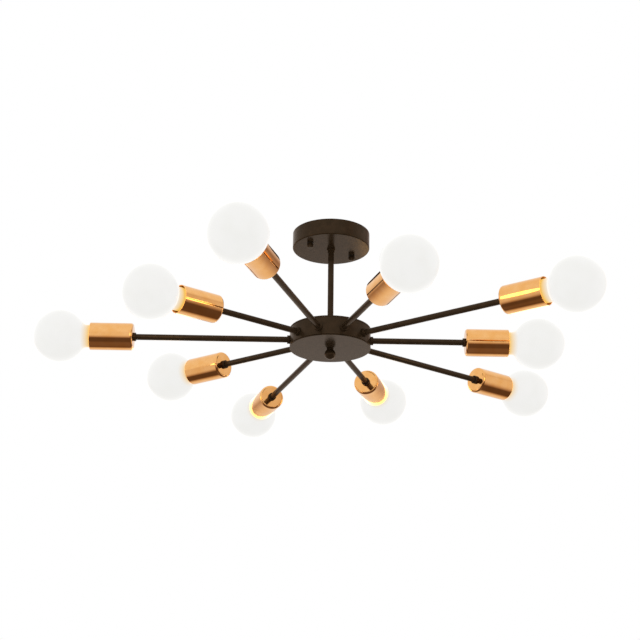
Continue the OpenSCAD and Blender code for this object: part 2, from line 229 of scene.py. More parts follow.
def rod(name, radius, start, end, sides=48):
    """Plain round cutter along Z."""
    return turned(name, [(0, start), (radius, start), (radius, end), (0, end)], sides=sides)


def drilled(mesh, cutters):
    """The mesh with every cutter of the list (cutter mesh, where it stands) taken out of it."""
    body = bpy.data.objects.new("drilled", mesh)
    bpy.context.scene.collection.objects.link(body)
    tools = []
    for cutter, where in cutters:
        tool = bpy.data.objects.new("tool", cutter)
        tool.matrix_world = where
        bpy.context.scene.collection.objects.link(tool)
        cut = body.modifiers.new("cut", "BOOLEAN")
        cut.operation = "DIFFERENCE"
        cut.solver = "EXACT"
        cut.object = tool
        tools.append(tool)
    bpy.context.view_layer.update()
    made = bpy.data.meshes.new_from_object(body.evaluated_get(bpy.context.evaluated_depsgraph_get()))
    made.name = mesh.name
    for spare in [body, *tools]:
        bpy.data.objects.remove(spare)
    made.shade_smooth()
    made.set_sharp_from_angle(angle=math.radians(CREASE))
    return made


# Places ---------------------------------------------------------------------------------------


def upright(x=0.0, y=0.0, z=0.0):
    """A place that is moved but not turned."""
    return Matrix.Translation((x, y, z))


def along_arm(i, distance=0.0):
    """Frame on arm i whose Z axis points outwards, at a distance from the centre line."""
    turn = Matrix.Rotation(i * ARM_STEP, 4, "Z")
    out = Matrix.Translation((distance, 0, ARM_LEVEL))
    return turn @ out @ Matrix.Rotation(math.pi / 2, 4, "Y")


def cup_back(i):
    """Distance from the centre line to the back of cup i: long and short arms take turns."""
    return REACH[i % 2]


def place(name, mesh, where, finish, body=ROOT, nodes=(), bevel=0.0):
    """Puts a mesh in the frame as a piece that rides on a body and stands for CAD nodes."""
    piece = bpy.data.objects.new(name, mesh)
    bpy.context.scene.collection.objects.link(piece)
    piece.matrix_world = where
    if not mesh.materials:
        mesh.materials.append(finish)
    if bevel:
        edges = piece.modifiers.new("eased edges", "BEVEL")
        edges.width = bevel
        edges.segments = 3
        edges.limit_method = "ANGLE"
        edges.harden_normals = True
    weighted = piece.modifiers.new("flat faces stay flat", "WEIGHTED_NORMAL")
    weighted.keep_sharp = True
    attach(piece, body)
    if nodes:
        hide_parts(*nodes)
    return piece


# Materials ------------------------------------------------------------------------------------


def linear(code):
    """sRGB hex colour as linear RGBA."""
    parts = [int(code[k:k + 2], 16) / 255 for k in (1, 3, 5)]
    return [p / 12.92 if p <= 0.04045 else ((p + 0.055) / 1.055) ** 2.4 for p in parts] + [1.0]


def feed(node, inputs):
    """Fills a node's inputs with values or with the outputs of other nodes."""
    for socket, source in inputs.items():
        if isinstance(source, bpy.types.NodeSocket):
            node.id_data.links.new(source, node.inputs[socket])
        else:
            node.inputs[socket].default_value = source


def add(tree, kind, inputs, **settings):
    """Adds a node with its own settings and its inputs."""
    node = tree.nodes.new(kind)
    for key, value in settings.items():
        setattr(node, key, value)
    feed(node, inputs)
    return node


def new_surface(name, inputs):
    """A material, its node tree and its shader, which gets the inputs that are the same all over."""
    material = bpy.data.materials.new(name)
    material.use_nodes = True
    shader = material.node_tree.nodes["Principled BSDF"]
    feed(shader, inputs)
    return material, material.node_tree, shader


def mottle(tree, size, low_value, high_value, detail=3.0):
    """A soft random pattern of the given grain size, spread between two values."""
    where = add(tree, "ShaderNodeTexCoord", {}).outputs["Object"]
    noise = add(tree, "ShaderNodeTexNoise", {"Vector": where, "Scale": 1 / size, "Detail": detail})
    # Noise seldom leaves its middle third, so that part is stretched over the whole spread
    spread = {"Value": noise.outputs["Fac"], "From Min": 0.35, "From Max": 0.65}
    spread.update({"To Min": low_value, "To Max": high_value})
    return add(tree, "ShaderNodeMapRange", spread).outputs["Result"]


def blotches(tree, size, tones, detail=3.0):
    """Two close sRGB colours in soft blotches of the given size."""
    blend = {"Factor": mottle(tree, size, 0, 1, detail), "A": linear(tones[0]), "B": linear(tones[1])}
    return add(tree, "ShaderNodeMix", blend, data_type="RGBA").outputs["Result"]


def uneven_skin(name, inputs, tones, blotch, gloss, patch, grain, depth, detail=2.0):
    """A finish of two tones in blotches, with patches that range over the gloss, and a bumpy grain."""
    material, tree, shader = new_surface(name, inputs)
    grains = {"Height": mottle(tree, grain, 0, 1, detail), "Distance": depth}
    skin = {"Base Color": blotches(tree, blotch, tones), "Roughness": mottle(tree, patch, *gloss)}
    skin["Normal"] = add(tree, "ShaderNodeBump", grains).outputs["Normal"]
    feed(shader, skin)
    return material


def bronze_enamel():
    """Baked bronze enamel with fine metal flake on steel: deep brown, satin gloss, faint orange peel."""
    flake = {"Metallic": 0.4, "Specular IOR Level": 0.1, "Specular Tint": linear("#E2D2C4")}
    tones = ("#33281C", "#3A2D20")
    # Orange peel is about 3 mm from crest to crest on a sprayed enamel
    return uneven_skin("bronze_flake_baked_enamel", flake, tones, 9 * MM, (0.2, 0.25), 6 * MM,
                       grain=3 * MM, depth=0.001 * MM, detail=1.0)


def polished_copper():
    """Copper plating buffed on a lathe: mirror gloss, hair-fine rings, slight tarnish, a dull bore."""
    material, tree, shader = new_surface("copper_plate_lathe_polished", {"Metallic": 1.0})
    where = add(tree, "ShaderNodeTexCoord", {}).outputs["Object"]
    # Buffing leaves rings finer than 0.1 mm, drawn coarser so that they show
    ring = 0.4 * MM
    sideways = 50
    stretch = {"Vector": where, "Scale": (sideways, sideways, 1)}
    stretched = add(tree, "ShaderNodeMapping", stretch, vector_type="TEXTURE").outputs["Vector"]
    lathe = {"Vector": stretched, "Scale": 1 / ring, "Detail": 2.0}
    rings = add(tree, "ShaderNodeTexNoise", lathe).outputs["Fac"]
    # Only the outside is buffed: the bore keeps the dull skin of the plating bath
    across = {0: where, 1: (1, 1, 0)}
    flat = add(tree, "ShaderNodeVectorMath", across, operation="MULTIPLY").outputs["Vector"]
    radius = add(tree, "ShaderNodeVectorMath", {0: flat}, operation="LENGTH").outputs["Value"]
    height = add(tree, "ShaderNodeSeparateXYZ", {0: where}).outputs["Z"]
    back = {"Value": height, "From Min": 4.2 * MM, "From Max": 4 * MM, "To Max": CUP_R}
    closed_end = add(tree, "ShaderNodeMapRange", back).outputs["Result"]
    outside = add(tree, "ShaderNodeMath", {0: radius, 1: closed_end}, operation="MAXIMUM").outputs["Value"]
    bore_r = CUP_R - CUP_WALL
    polish = {"Value": outside, "From Min": bore_r + 0.1 * MM, "From Max": bore_r + 0.4 * MM}
    polish.update({"To Min": 0.45, "To Max": mottle(tree, 7 * MM, 0.05, 0.11)})
    gloss = add(tree, "ShaderNodeMapRange", polish).outputs["Result"]
    normal = add(tree, "ShaderNodeBump", {"Height": rings, "Distance": 0.0015 * MM}).outputs["Normal"]
    tarnish = blotches(tree, 14 * MM, ("#EDAE65", "#F2B977"))
    feed(shader, {"Base Color": tarnish, "Roughness": gloss, "Normal": normal})
    return material


def opal_glass():
    """Blown opal glass lit from inside: an even milky glow under a smooth skin, with a golden glow painted on
    the neck in the cup's mouth.
    """
    even = {"Base Color": linear("#55544F"), "Roughness": 0.3, "Specular IOR Level": 0.2}
    even["Emission Strength"] = 0.83
    material, tree, shader = new_surface("opal_glass_blown", even)
    # The milky layer varies a little in thickness over some 25 mm
    glow = blotches(tree, 25 * MM, ("#F9F9F7", "#FBFBFA"), 1.0)
    # Painted light: inside the cup the neck's glow colour turns golden, standing in for the light that the
    # copper throws back on it
    where = add(tree, "ShaderNodeTexCoord", {}).outputs["Object"]
    height = add(tree, "ShaderNodeSeparateXYZ", {0: where}).outputs["Z"]
    leaving = {"Value": height, "From Min": CUP_L, "From Max": CUP_L + 12 * MM}
    above_cup = add(tree, "ShaderNodeMapRange", leaving).outputs["Result"]
    # The golden glow painted on the neck is mixed into the emission colour here
    painted_cup_glow = {"Factor": above_cup, "A": linear("#FFCB5C"), "B": glow}
    glow_with_painted_cup_light = add(tree, "ShaderNodeMix", painted_cup_glow, data_type="RGBA").outputs["Result"]
    # Blown glass has long shallow waves
    waves = {"Height": mottle(tree, 12 * MM, 0, 1, 1.0), "Distance": 0.004 * MM}
    normal = add(tree, "ShaderNodeBump", waves).outputs["Normal"]
    feed(shader, {"Emission Color": glow_with_painted_cup_light, "Normal": normal})
    return material


def metal_skin(name, tones, gloss, grain):
    """Metal with a plated or rolled skin: two close tones, uneven dullness and a fine grain."""
    # Grain of this kind is some hundredths of a millimetre wide, so it is drawn coarser to show
    return uneven_skin(name, {"Metallic": 1.0}, tones, 5 * MM, gloss, 2 * MM, grain, depth=0.004 * MM)


def moulded(name, tones, roughness, grain):
    """Moulded plastic or glass: even colour, slight sheen variation and the grain of the tool."""
    # A tool's spark-worn grain is about 0.1 mm wide, so it is drawn coarser to show
    gloss = (roughness - 0.06, roughness + 0.06)
    return uneven_skin(name, {}, tones, 8 * MM, gloss, 3 * MM, grain, depth=0.01 * MM)


ENAMEL = bronze_enamel()
COPPER = polished_copper()
OPAL = opal_glass()
# Nickel over brass is warm grey and a little dull
NICKEL = metal_skin("nickel_plate_on_brass", ("#A9A297", "#BDB6AA"), (0.22, 0.34), 0.5 * MM)
# Zinc with a clear passivation looks cool grey with a faint bloom
ZINC = metal_skin("zinc_plate_clear_passivated", ("#9A9C9C", "#B5B6B2"), (0.3, 0.45), 0.6 * MM)
# Rolled brass strip is yellow with a soft sheen
BRASS = metal_skin("brass_strip_rolled", ("#B08A45", "#C7A157"), (0.25, 0.38), 0.5 * MM)
# Solder that set after dipping is grey and slightly frosted
SOLDER = metal_skin("solder_tin_reflowed", ("#8F9091", "#A8A9AA"), (0.3, 0.5), 0.4 * MM)
# Phenolic from a polished tool is black with a dull sheen
PHENOLIC = moulded("phenolic_moulded_black", ("#141414", "#1D1C1B"), 0.45, 0.4 * MM)
# Uncoloured nylon is a milky cream
NYLON = moulded("nylon_moulded_natural", ("#D9D4C4", "#E6E2D4"), 0.4, 0.5 * MM)
# Nylon coloured black is near matt
NYLON_BLACK = moulded("nylon_moulded_black", ("#17130F", "#211B16"), 0.5, 0.4 * MM)
# Black base glass of a screw cap is fused and glossy
BASE_GLASS = moulded("base_glass_fused_black", ("#0C0B0F", "#15131A"), 0.12, 1.0 * MM)
# Extruded silicone insulation is soft and even, in the colours of live, neutral and earth
LEAD_BROWN = moulded("silicone_lead_brown", ("#4A2413", "#5A2E1A"), 0.5, 0.3 * MM)
LEAD_BLUE = moulded("silicone_lead_blue", ("#1F4F8F", "#2B62A8"), 0.5, 0.3 * MM)
LEAD_GREEN = moulded("silicone_lead_green_yellow", ("#5E8A1E", "#A8B32A"), 0.5, 0.3 * MM)


# Cups and lamps -------------------------------------------------------------------------------


def cup_mesh():
    """Drawn cup: round-edged closed back, thin straight wall, eased mouth."""
    inner = CUP_R - CUP_WALL
    lip = 0.45 * MM
    rows = outline(
        (HOLE_R, 0),
        (CUP_R, 0, 3.6 * MM),
        (CUP_R, CUP_L, lip),
        (inner, CUP_L, lip),
        (inner, CUP_WALL, 2.6 * MM),
        (HOLE_R, CUP_WALL),
        steps=8,
    )
    return turned("cup", rows, closed=True, sides=160)


def collar_mesh():
    """Round lock collar with eased rims and a shallow groove round its middle."""
    groove_r = COLLAR_R - 0.25 * MM
    middle = COLLAR_L / 2
    rim = 0.5 * MM
    ease = 0.2 * MM
    rows = outline(
        (THREAD_R, 0),
        (COLLAR_R, 0, rim),
        (COLLAR_R, middle - 0.5 * MM, ease),
        (groove_r, middle - 0.2 * MM),
        (groove_r, middle + 0.2 * MM),
        (COLLAR_R, middle + 0.5 * MM, ease),
        (COLLAR_R, COLLAR_L, rim),
        (THREAD_R, COLLAR_L),
        steps=4,
    )
    return turned("collar", rows, closed=True, sides=64)


def tube_mesh(name, start, shoulder_a, shoulder_b, end):
    """Tube with a fine thread on both reduced ends."""
    depth = 0.5 * MM
    ease = 0.3 * MM
    rows = [(BORE_R, start), (THREAD_R - depth, start)]
    rows += thread(THREAD_R, start, shoulder_a, FINE_PITCH, depth)
    rows += outline(
        (THREAD_R, shoulder_a),
        (TUBE_R, shoulder_a, ease),
        (TUBE_R, shoulder_b, ease),
        (THREAD_R, shoulder_b),
        steps=3,
    )
    rows += thread(THREAD_R, shoulder_b, end, FINE_PITCH, depth)
    rows += [(THREAD_R - depth, end), (BORE_R, end)]
    return turned(name, rows, closed=True, sides=48, pitch=FINE_PITCH)


def nut_mesh(thickness, flats, bore):
    """Hexagon nut with its corners chamfered on both faces."""
    corner = flats / 2 / math.cos(math.pi / 6)
    face_r = flats / 2 - 0.2 * MM
    chamfer = 0.5 * MM
    rows = [
        (bore, 0),
        (face_r, 0),
        (corner, chamfer),
        (corner, thickness - chamfer),
        (face_r, thickness),
        (bore, thickness),
    ]
    return turned("hex_nut", rows, closed=True, sides=96, flats=flats)


def globe_mesh():
    """Round bulb: a ball, a fillet, a straight neck and a short taper down to the cap."""
    neck_r = 16.85 * MM
    fillet = 6 * MM
    taper = 5 * MM
    neck_start = low("bulb_globe_01").x - REACH[0]
    rise = math.sqrt((BULB_R + fillet) ** 2 - (neck_r + fillet) ** 2)
    neck_end = BULB_CENTRE - rise
    touch = math.atan2(rise, neck_r + fillet)
    rows = outline(
        (0, neck_start),
        (CAP_R + 0.3 * MM, neck_start, 0.5 * MM),
        (neck_r, neck_start + taper, 4 * MM),
        (neck_r, neck_end),
    )
    fillet_steps = 10
    for k in range(1, fillet_steps + 1):
        angle = math.pi + touch * k / fillet_steps
        rows.append((neck_r + fillet + fillet * math.cos(angle), neck_end - fillet * math.sin(angle)))
    ball_steps = 56
    for k in range(1, ball_steps + 1):
        angle = -touch + (math.pi / 2 + touch) * k / ball_steps
        across = BULB_R * math.cos(angle) if k < ball_steps else 0
        rows.append((across, BULB_CENTRE + BULB_R * math.sin(angle)))
    return turned("globe", rows, sides=128)


def cap_shell_mesh():
    """Thin metal shell of the screw cap, rolled with the coarse round lamp thread."""
    wall = 0.3 * MM
    foot = CAP_START + 7 * MM
    lip = foot - 2 * MM
    start = foot + 1 * MM
    end = CAP_END - 3 * MM
    rows = [(CAP_LIP_R, lip), (CAP_LIP_R + wall, lip), (CAP_R, foot)]
    rows += thread(CAP_R, start, end, LAMP_LEAD, LAMP_THREAD_DEPTH)
    rows += [(CAP_R, CAP_END), (CAP_R - wall, CAP_END)]
    rows += thread(CAP_R - wall, start, end, LAMP_LEAD, LAMP_THREAD_DEPTH)[::-1]
    rows += [(CAP_R - wall, foot)]
    return turned("cap_shell", rows, closed=True, sides=96, pitch=LAMP_LEAD)


def cap_glass_mesh():
    """Black glass cone between the shell and the centre contact."""
    start = CAP_START + 1.0 * MM
    end = CAP_START + 6.4 * MM
    rows = outline(
        (0, start),
        (7.0 * MM, start, 0.6 * MM),
        (CAP_LIP_R, CAP_START + 5 * MM, 0.5 * MM),
        (CAP_LIP_R, end),
        (0, end),
    )
    return turned("cap_glass", rows, sides=64)


def cap_contact_mesh():
    """Soldered centre contact, a low round bead."""
    bead_r = 4.0 * MM
    end = CAP_START + 1.2 * MM
    rows = outline((0, CAP_START), (bead_r, CAP_START, 1.0 * MM), (bead_r, end), (0, end))
    return turned("cap_contact", rows, sides=48)


def holder_mesh():
    """Moulded lampholder: threaded throat, flared shoulder, ribbed skirt and the socket for the sleeve."""
    sleeve_r = CAP_R + 0.8 * MM
    wall = 3.2 * MM
    body_r = sleeve_r + wall
    front = CAP_END - 1.4 * MM
    shelf = HOLDER_FLOOR + 2.5 * MM
    throat = CUP_WALL + 9 * MM
    shoulder = throat + 5 * MM
    tongue_r = 4.2 * MM
    back_r = sleeve_r - 2 * MM
    rows = outline(
        (THREAD_R, CUP_WALL),
        (THREAD_R + wall, CUP_WALL, 0.5 * MM),
        (THREAD_R + wall, throat, 1.0 * MM),
        (body_r, shoulder, 1.5 * MM),
        (body_r, front - 14 * MM),
        (body_r, front - 4 * MM),
        (body_r, front, 0.8 * MM),
        (sleeve_r, front, 0.4 * MM),
        (sleeve_r, shelf),
        (tongue_r, shelf),
        (tongue_r, HOLDER_FLOOR),
        (back_r, HOLDER_FLOOR),
        (back_r, shoulder),
        (THREAD_R, shoulder),
    )
    return turned("lampholder", rows, closed=True, sides=144, flutes=(36, 0.35 * MM))


def sleeve_mesh():
    """Brass sleeve of the lampholder, rolled with the same lamp thread as the cap."""
    gap = 0.3 * MM
    wall = 0.45 * MM
    start = CAP_START + gap
    end = CAP_END - 3 * MM
    inner = thread(CAP_R + gap, start, end, LAMP_LEAD, LAMP_THREAD_DEPTH)
    outer = thread(CAP_R + gap + wall, start, end, LAMP_LEAD, LAMP_THREAD_DEPTH)
    return turned("lamp_sleeve", inner + outer[::-1], closed=True, sides=96, pitch=LAMP_LEAD)


def holder_tongue_mesh():
    """Sprung centre contact of the lampholder."""
    foot_r = 4.0 * MM
    end = CAP_START - 0.3 * MM
    rows = outline(
        (0, HOLDER_FLOOR),
        (foot_r, HOLDER_FLOOR, 0.4 * MM),
        (foot_r, end - 1 * MM, 0.6 * MM),
        (2.2 * MM, end, 0.5 * MM),
        (0, end),
    )
    return turned("holder_tongue", rows, sides=48)


def lamp_glow(globe, i, globes):
    """Warm light that the lit bulb gives to the parts round it, but not to the globes themselves."""
    data = bpy.data.lights.new("lamp_glow_" + tag(i), "POINT")
    data.shadow_soft_size = BULB_R + 0.3 * MM
    data.use_soft_falloff = False
    # Watts that make the ball GLOW times as bright as the white surround
    data.energy = GLOW * 4 * math.pi ** 2 * data.shadow_soft_size ** 2
    data.color = linear("#FFD890")[:3]
    light = bpy.data.objects.new("lamp_glow_" + tag(i), data)
    light.visible_camera = False
    light.light_linking.receiver_collection = globes
    bpy.context.scene.collection.objects.link(light)
    light.parent = globe
    light.location = (0, 0, BULB_CENTRE)


def lamps_and_arms():
    """Everything that repeats on the arms."""
    cup, collar, nut, globe = cup_mesh(), collar_mesh(), nut_mesh(NUT_T, NUT_FLATS, THREAD_R), globe_mesh()
    shell, glass, contact = cap_shell_mesh(), cap_glass_mesh(), cap_contact_mesh()
    holder, sleeve, tongue = holder_mesh(), sleeve_mesh(), holder_tongue_mesh()
    past_collar = HUB_COVER_R + COLLAR_L
    tubes = []
    for reach in REACH:
        tubes.append(tube_mesh("arm_tube", ARM_START, past_collar, reach - COLLAR_L, reach + ARM_PAST_CUP))
    # The lamps' light leaves out the globes, which have their own glow
    globes = bpy.data.collections.new("globes")
    for i in range(ARM_COUNT):
        n = tag(i)
        at_cup = along_arm(i, cup_back(i))
        at_hub = along_arm(i, HUB_COVER_R)
        behind_cup = along_arm(i, cup_back(i) - COLLAR_L)
        at_nut = along_arm(i, ARM_START + 2 * MM)
        cap_body = f"bulb_{n}_cap"
        place("arm_tube_" + n, tubes[i % 2], along_arm(i), ENAMEL, ROOT, ["arm_" + n])
        place("copper_cup_" + n, cup, at_cup, COPPER, ROOT, ["cup_" + n])
        place("hub_collar_" + n, collar, at_hub, ENAMEL, ROOT, ["arm_collars"])
        place("cup_collar_" + n, collar, behind_cup, ENAMEL, ROOT)
        place("arm_nut_" + n, nut, at_nut, ZINC, ROOT, ["arm_lock_nuts"])
        place("lampholder_" + n, holder, at_cup, PHENOLIC, ROOT, ["lampholders"])
        place("lamp_sleeve_" + n, sleeve, at_cup, BRASS, ROOT, ["lampholder_contacts"])
        place("holder_tongue_" + n, tongue, at_cup, BRASS, ROOT)
        place("cap_shell_" + n, shell, at_cup, NICKEL, cap_body, ["bulb_cap_" + n])
        place("cap_glass_" + n, glass, at_cup, BASE_GLASS, cap_body)
        place("cap_contact_" + n, contact, at_cup, SOLDER, cap_body)
        lamp = place("opal_globe_" + n, globe, at_cup, OPAL, "bulb_" + n, ["bulb_globe_" + n])
        globes.objects.link(lamp)
        globes.collection_objects[-1].light_linking.link_state = "EXCLUDE"
        lamp_glow(lamp, i, globes)


# Hub, stem and canopy -------------------------------------------------------------------------


def hub():
    """Spun drum with its raised band, and the flat cover below it."""
    inner = HUB_COVER_R - SHEET
    band_foot = HUB_TOP - 2.4 * MM
    rows = outline(
        (HUB_COVER_R, HUB_RIM, 0.9 * MM),
        (HUB_COVER_R, band_foot, 0.2 * MM),
        (BAND_R, band_foot, 0.25 * MM),
        (BAND_R, HUB_TOP, 0.9 * MM),
        (HOLE_R, HUB_TOP),
        (HOLE_R, HUB_TOP - SHEET),
        (inner, HUB_TOP - SHEET, 1.0 * MM),
        (inner, HUB_RIM, 0.3 * MM),
    )
    drum = turned("hub_drum", rows, closed=True, sides=240)
    cutter = rod("arm_hole", HOLE_R, HUB_COVER_R - 6 * MM, HUB_COVER_R + 6 * MM)
    drum = drilled(drum, [(cutter, along_arm(i)) for i in range(ARM_COUNT)])
    place("hub_drum_spun", drum, upright(), ENAMEL, ROOT, ["hub_drum"])

    bottom, ring_top = low("hub_cover").z, high("hub_cover").z
    floor = bottom + 1.3 * MM
    ring = inner - 0.4 * MM
    stud_hole = 3.3 * MM
    ease = 0.3 * MM
    rows = outline(
        (stud_hole, bottom, ease),
        (HUB_COVER_R, bottom, 0.55 * MM),
        (HUB_COVER_R, floor, 0.6 * MM),
        (ring, floor),
        (ring, ring_top, ease),
        (ring - SHEET, ring_top, ease),
        (ring - SHEET, floor, 0.4 * MM),
        (stud_hole, floor),
    )
    cover = turned("hub_cover", rows, closed=True, sides=240)
    place("hub_cover_disc", cover, upright(), ENAMEL, "hub_cover", ["hub_cover"])


def finial():
    """Turned ball on a short neck, with a blind threaded bore."""
    ball_r = radius_of("finial")
    top = high("finial").z
    centre = low("finial").z + ball_r
    neck = 5 * MM
    bore = 3.05 * MM
    bore_end = top - 8.1 * MM
    chamfer = 0.4 * MM
    meet = math.asin(neck / ball_r)
    rows = [(0, bore_end), (bore, bore_end), (bore, top - chamfer), (bore + chamfer, top)]
    rows += outline((bore, top), (neck, top, 0.25 * MM), (neck, top - 1.2 * MM))[1:]
    count = 40
    for k in range(count + 1):
        angle = meet + (math.pi - meet) * k / count
        across = ball_r * math.sin(angle) if k < count else 0
        rows.append((across, centre + ball_r * math.cos(angle)))
    ball = turned("finial", rows)
    place("finial_ball", ball, upright(), ENAMEL, "finial", ["finial"])


def stem():
    """Straight tube with a stepped collar where it meets the canopy and the hub."""
    flange_t = 2.5 * MM
    tube = tube_mesh("stem", low("stem").z, HUB_TOP + flange_t, CANOPY_BASE - flange_t, high("stem").z)
    place("stem_tube", tube, upright(), ENAMEL, ROOT, ["stem"])
    flange_r = radius_of("stem_collars")
    ferrule_r = TUBE_R + 0.9 * MM
    ferrule_end = flange_t + 4 * MM
    rows = outline(
        (THREAD_R, 0),
        (flange_r, 0, 0.25 * MM),
        (flange_r, flange_t, 0.5 * MM),
        (ferrule_r, flange_t, 0.4 * MM),
        (ferrule_r, ferrule_end, 0.5 * MM),
        (TUBE_R, ferrule_end),
        (TUBE_R, flange_t),
        (THREAD_R, flange_t),
    )
    collar = turned("stem_collar", rows, closed=True, sides=72)
    flipped = upright(z=CANOPY_BASE) @ Matrix.Rotation(math.pi, 4, "X")
    place("stem_collar_top", collar, flipped, ENAMEL, ROOT, ["stem_collars"])
    place("stem_collar_foot", collar, upright(z=HUB_TOP), ENAMEL, ROOT)
    nut = nut_mesh(NUT_T, NUT_FLATS, THREAD_R)
    top_nut = high("stem_lock_nuts").z - NUT_T
    place("stem_nut_top", nut, upright(z=top_nut), ZINC, ROOT, ["stem_lock_nuts"])
    place("stem_nut_foot", nut, upright(z=low("stem_lock_nuts").z), ZINC, ROOT)


def canopy():
    """Spun ceiling canopy with its thumb nuts and washers."""
    inner = CANOPY_R - SHEET
    rim = 0.4 * MM
    stud_hole = 2.3 * MM
    rows = outline(
        (HOLE_R, CANOPY_BASE),
        (CANOPY_R, CANOPY_BASE, 1.8 * MM),
        (CANOPY_R, 0, rim),
        (inner, 0, rim),
        (inner, CANOPY_BASE + SHEET, 0.8 * MM),
        (HOLE_R, CANOPY_BASE + SHEET),
        steps=7,
    )
    shell = turned("canopy", rows, closed=True, sides=240)
    cutter = rod("stud_hole", stud_hole, CANOPY_BASE - 3 * MM, CANOPY_BASE + 3 * MM)
    shell = drilled(shell, [(cutter, upright(x=side * STUD_X)) for side in (-1, 1)])
    place("canopy_spun", shell, upright(), ENAMEL, ROOT, ["canopy"])

    nut_low, nut_high = low("thumb_nut_a").z, high("thumb_nut_a").z
    nut_r = radius_of("thumb_nut_a")
    shoulder_r = nut_r - 0.3 * MM
    dome_r = nut_r - 0.2 * MM
    bore = 2.05 * MM
    bore_end = nut_high - 5.3 * MM
    rows = [(0, bore_end), (bore, bore_end), (bore, nut_high)]
    rows += outline(
        (bore, nut_high),
        (shoulder_r, nut_high, 0.3 * MM),
        (shoulder_r, nut_high - 1 * MM),
        (nut_r, nut_high - 1.3 * MM),
        (nut_r, nut_low + 2.2 * MM),
        (dome_r, nut_low + 1.9 * MM),
        (dome_r, nut_low, 1.6 * MM),
        (0, nut_low),
    )[1:]
    nut = turned("thumb_nut", rows, sides=180, flutes=(30, 0.3 * MM))
    washer_low, washer_high = low("canopy_washer_a").z, high("canopy_washer_a").z
    washer_r = radius_of("canopy_washer_a")
    washer_rows = outline(
        (stud_hole, washer_low),
        (washer_r, washer_low, 0.2 * MM),
        (washer_r, washer_high, 0.2 * MM),
        (stud_hole, washer_high),
    )
    washer = turned("canopy_washer", washer_rows, closed=True, sides=64)
    for side, end in ((-1, "a"), (1, "b")):
        spot = upright(x=side * STUD_X)
        nut_node, washer_node = "thumb_nut_" + end, "canopy_washer_" + end
        place("thumb_nut_knurled_" + end, nut, spot, ENAMEL, nut_node, [nut_node])
        place("nylon_washer_" + end, washer, spot, NYLON_BLACK, washer_node, [washer_node])


# Hidden hardware ------------------------------------------------------------------------------


def slot_contour(length, width, steps=10):
    """Closed contour of a slot with round ends, along X."""
    half = (length - width) / 2
    points = []
    for end, start in ((1, -math.pi / 2), (-1, math.pi / 2)):
        for k in range(steps + 1):
            angle = start + math.pi * k / steps
            points.append((end * half + width / 2 * math.cos(angle), width / 2 * math.sin(angle)))
    return points


def mounting_bar():
    """Pressed ceiling strap with two screw slots, and the two studs that carry the canopy."""
    floor, top = low("mounting_bar").z, high("mounting_bar").z
    half_l, half_w = high("mounting_bar").x, high("mounting_bar").y
    corner = 4 * MM
    slot_x = 20 * MM
    stud_r = 2 * MM
    contour = outline(
        (half_l, -half_w, corner),
        (half_l, half_w, corner),
        (-half_l, half_w, corner),
        (-half_l, -half_w, corner),
    )
    plate = slab("mounting_bar", contour, floor, top)
    slot = slab("slot", slot_contour(14 * MM, 4.5 * MM), floor - MM, top + MM)
    tap = rod("tap", stud_r, floor - MM, top + MM)
    cuts = [(slot, upright(x=side * slot_x)) for side in (-1, 1)]
    cuts += [(tap, upright(x=side * STUD_X)) for side in (-1, 1)]
    strap = drilled(plate, cuts)
    place("mounting_strap", strap, upright(), ZINC, ROOT, ["mounting_bar"], bevel=0.25 * MM)

    end, start = low("bar_studs").z, high("bar_studs").z
    # The lock hexagon stands between the stud's thread and the strap
    hex_low = floor - 3 * MM
    face_r = 3.3 * MM
    corner_r = 4.1 * MM
    chamfer = 0.4 * MM
    depth = 0.35 * MM
    rows = [(0, end), (stud_r - 0.5 * MM, end)] + thread(stud_r, end + 0.2 * MM, hex_low, STUD_PITCH, depth)
    rows += [(face_r, hex_low), (corner_r, hex_low + chamfer), (corner_r, floor - chamfer), (face_r, floor)]
    rows += [(stud_r - depth, floor), (stud_r - depth, start), (0, start)]
    stud = turned("bar_stud", rows, sides=48, pitch=STUD_PITCH, flats=7 * MM)
    for side, label in ((-1, "a"), (1, "b")):
        place("bar_stud_" + label, stud, upright(x=side * STUD_X), ZINC, ROOT, ["bar_studs"])


def cover_bracket():
    """Closed strap frame in the hub that carries the stud of the finial."""
    half_w, half_d = high("cover_bracket").x, high("cover_bracket").y
    top = high("cover_bracket").z
    foot = HUB_RIM
    strap = 1.5 * MM
    bend = 3 * MM
    outer = outline((half_w, foot, bend), (half_w, top, bend), (-half_w, top, bend), (-half_w, foot, bend))
    inner = outline(
        (half_w - strap, foot + strap, bend - strap),
        (half_w - strap, top - strap, bend - strap),
        (-half_w + strap, top - strap, bend - strap),
        (-half_w + strap, foot + strap, bend - strap),
    )
    bm = bmesh.new()
    loops = []
    for contour in (outer, inner):
        for y in (-half_d, half_d):
            loops.append([bm.verts.new((x, y, z)) for x, z in contour])
    count = len(outer)
    for a, b in ((0, 1), (1, 3), (3, 2), (2, 0)):
        for k in range(count):
            n = (k + 1) % count
            bm.faces.new([loops[a][k], loops[a][n], loops[b][n], loops[b][k]])
    frame_mesh = finish_mesh("cover_bracket", bm)
    hole = rod("stem_hole", HOLE_R, top - 3 * MM, top + MM)
    strap_mesh = drilled(frame_mesh, [(hole, upright())])
    place("cover_bracket_strap", strap_mesh, upright(), ZINC, ROOT, ["cover_bracket"],
          bevel=0.2 * MM)
    stud_r = 3 * MM
    head_r = 4.5 * MM
    head_top = foot + 2.6 * MM
    end = low("cover_bracket").z
    rows = [(0, end), (stud_r - 0.7 * MM, end)]
    rows += thread(stud_r, end + 0.3 * MM, foot, FINE_PITCH, 0.5 * MM)
    rows += outline(
        (stud_r, foot),
        (stud_r, foot + strap),
        (head_r, foot + strap),
        (head_r, head_top, 0.5 * MM),
        (0, head_top),
    )
    stud = turned("finial_stud", rows, sides=48, pitch=FINE_PITCH)
    place("finial_stud", stud, upright(), ZINC, ROOT)


